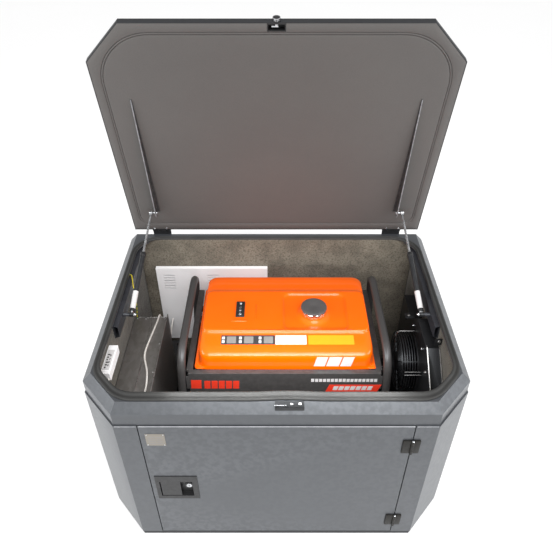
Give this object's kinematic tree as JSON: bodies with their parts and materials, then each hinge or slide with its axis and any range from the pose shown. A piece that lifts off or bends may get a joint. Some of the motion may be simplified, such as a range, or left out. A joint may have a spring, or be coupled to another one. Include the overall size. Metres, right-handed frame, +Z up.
{
  "type": "home standby generator",
  "caption": "Insulated steel generator cabinet with a gas-strut top lid and a hinged front door, holding an open-frame petrol generator, ducts, fan and electrical box.",
  "frame": {"origin": "middle of the cabinet's plan, on the face that rests on the floor", "axes": "+X to the right seen from the door, +Y to the rear, +Z up; lid open and door shut at rest"},
  "size_m": [1.2, 0.907, 1.6067],
  "materials": {
    "base_black": "satin black paint",
    "graphite_paint": "graphite blue-grey powder coat with fine sparkle",
    "lid_paint": "dark graphite powder coat",
    "liner_grey": "dark warm grey acoustic liner",
    "rubber": "matt black rubber",
    "felt": "brown-grey needle felt",
    "channel_paint": "dark blue-grey paint",
    "hardware_black": "black coated steel",
    "zinc": "bright zinc plated steel",
    "black_plastic": "moulded black plastic",
    "plate_beige": "beige anodised plate with blank fields",
    "white_enamel": "white powder coat",
    "galvanised": "galvanised sheet with faint rolling lines",
    "duct_black": "gloss black paint",
    "cable_white": "white PVC sheath",
    "earth_wire": "yellow and green PVC insulation",
    "frame_grey": "dark grey powder coat",
    "tank_orange": "gloss orange enamel",
    "cap_dark": "dark grey ribbed cap with a chromed skirt",
    "instrument_grey": "grey moulded sockets and meter",
    "cast_aluminium": "as-cast aluminium",
    "muffler_steel": "heat-tinted steel",
    "machined_steel": "machined steel"
  },
  "bodies": {
    "cabinet": {"base_frame": "base_black", "front_panel": "graphite_paint", "left_side_panel": "graphite_paint", "right_side_panel": "graphite_paint", "rear_panel": "graphite_paint", "top_rim": "graphite_paint", "rubber_feet": "rubber", "rim_seal": "rubber", "felt_lining": "felt", "side_channels": "channel_paint", "striker": "hardware_black", "lid_hinge_bases": "hardware_black", "door_hinge_bases": "hardware_black", "cabinet_screws": "zinc", "cable_gland": "black_plastic", "fuel_gauge": "black_plastic", "air_filter": "black_plastic", "battery": "black_plastic", "electrical_box": "white_enamel", "driver_box": "white_enamel", "left_duct": "galvanised", "right_duct": "duct_black", "fan_guard": "duct_black", "lamp_cable": "cable_white", "ground_wire": "earth_wire", "left_hoop": "frame_grey", "right_hoop": "frame_grey", "frame_rails": "frame_grey", "front_plate": "frame_grey", "control_panel": "frame_grey", "fuel_tank": "tank_orange", "panel_instruments": "instrument_grey", "engine_block": "cast_aluminium", "alternator": "cast_aluminium", "muffler": "muffler_steel"},
    "lid": {"lid_shell": "lid_paint", "lid_liner": "liner_grey", "lid_brackets": "channel_paint", "lid_hinge_leaves": "hardware_black", "lid_lock_case": "black_plastic"},
    "lid_lock": {"lid_lock_hook": "zinc"},
    "left_strut": {"left_strut_tube": "hardware_black"},
    "left_rod": {"left_strut_rod": "zinc"},
    "right_strut": {"right_strut_tube": "hardware_black"},
    "right_rod": {"right_strut_rod": "zinc"},
    "door": {"door_panel": "graphite_paint", "door_insulation": "liner_grey", "door_hinge_leaves": "hardware_black", "nameplate": "plate_beige", "lock_housing": "black_plastic"},
    "paddle": {"lock_paddle": "black_plastic"},
    "key": {"key_cylinder": "zinc"},
    "bolt": {"latch_bolt": "zinc"},
    "fan": {"fan_rotor": "black_plastic"},
    "tank_cap": {"fuel_cap": "cap_dark"},
    "ignition_key": {"key_switch": "black_plastic"},
    "breaker": {"breaker_switch": "black_plastic"},
    "recoil": {"recoil_handle": "black_plastic"},
    "crank": {"rotor_shaft": "machined_steel"},
    "choke": {"choke_lever": "black_plastic"}
  },
  "joints": [
    {"name": "lid_swing", "type": "hinge", "parent": "cabinet", "child": "lid", "pos_m": [0, 0.445, 0.738], "axis": [1, 0, 0], "range_deg": [0, 75.85], "stiffness_Nm_per_rad": 60, "springref_deg": -34.38},
    {"name": "lid_lock_turn", "type": "hinge", "parent": "lid", "child": "lid_lock", "pos_m": [0, 0.2278, 1.58562], "axis": [0, -0.2445, 0.9697], "range_deg": [0, 90]},
    {"name": "left_strut_swing", "type": "hinge", "parent": "cabinet", "child": "left_strut", "pos_m": [-0.51, 0, 0.68], "axis": [1, 0, 0], "range_deg": [-22.3, 0.3]},
    {"name": "left_rod_slide", "type": "slide", "parent": "left_strut", "child": "left_rod", "axis": [0.0706, 0.8973, 0.4357], "range_m": [-0.1091, 0.0003]},
    {"name": "right_strut_swing", "type": "hinge", "parent": "cabinet", "child": "right_strut", "pos_m": [0.51, 0, 0.68], "axis": [1, 0, 0], "range_deg": [-22.3, 0.3]},
    {"name": "right_rod_slide", "type": "slide", "parent": "right_strut", "child": "right_rod", "axis": [-0.0706, 0.8973, 0.4357], "range_m": [-0.1091, 0.0003]},
    {"name": "door_swing", "type": "hinge", "parent": "cabinet", "child": "door", "pos_m": [0.413, -0.45, 0.3], "axis": [0, 0, 1], "range_deg": [0, 110]},
    {"name": "paddle_pull", "type": "hinge", "parent": "door", "child": "paddle", "pos_m": [-0.379, -0.44, 0.306], "axis": [0, 0, 1], "range_deg": [-35, 0], "stiffness_Nm_per_rad": 0.6, "springref_deg": 5.73},
    {"name": "key_turn", "type": "hinge", "parent": "door", "child": "key", "pos_m": [-0.287, -0.44, 0.328], "axis": [0, 1, 0], "range_deg": [0, 90]},
    {"name": "bolt_slide", "type": "slide", "parent": "door", "child": "bolt", "axis": [-1, 0, 0], "range_m": [0, 0.012]},
    {"name": "fan_spin", "type": "hinge", "parent": "cabinet", "child": "fan", "pos_m": [0.482, 0.003, 0.44], "axis": [1, 0, 0], "continuous": true},
    {"name": "tank_cap_turn", "type": "hinge", "parent": "cabinet", "child": "tank_cap", "pos_m": [0.134, 0.044, 0.66], "axis": [0, 0, 1], "range_deg": [0, 90]},
    {"name": "ignition_turn", "type": "hinge", "parent": "cabinet", "child": "ignition_key", "pos_m": [-0.25, -0.16, 0.4], "axis": [0, 1, 0], "range_deg": [0, 90]},
    {"name": "breaker_flip", "type": "hinge", "parent": "cabinet", "child": "breaker", "pos_m": [-0.04, -0.156, 0.395], "axis": [1, 0, 0], "range_deg": [-24, 0]},
    {"name": "recoil_pull", "type": "slide", "parent": "cabinet", "child": "recoil", "axis": [0, -1, 0], "range_m": [0, 0.28], "stiffness_N_per_m": 60, "springref_m": -0.05},
    {"name": "crank_spin", "type": "hinge", "parent": "cabinet", "child": "crank", "pos_m": [0, 0.05, 0.2], "axis": [1, 0, 0], "continuous": true},
    {"name": "choke_turn", "type": "hinge", "parent": "cabinet", "child": "choke", "pos_m": [0.285, -0.1, 0.35], "axis": [0, 1, 0], "range_deg": [-40, 0]}
  ],
  "couplings": [
    {"joint": "left_strut_swing", "follows": "lid_swing", "ratio": -0.2914},
    {"joint": "left_rod_slide", "follows": "lid_swing", "m_per_rad": -0.082187},
    {"joint": "right_strut_swing", "follows": "lid_swing", "ratio": -0.2914},
    {"joint": "right_rod_slide", "follows": "lid_swing", "m_per_rad": -0.082187},
    {"joint": "bolt_slide", "follows": "key_turn", "m_per_rad": 0.007512}
  ]
}
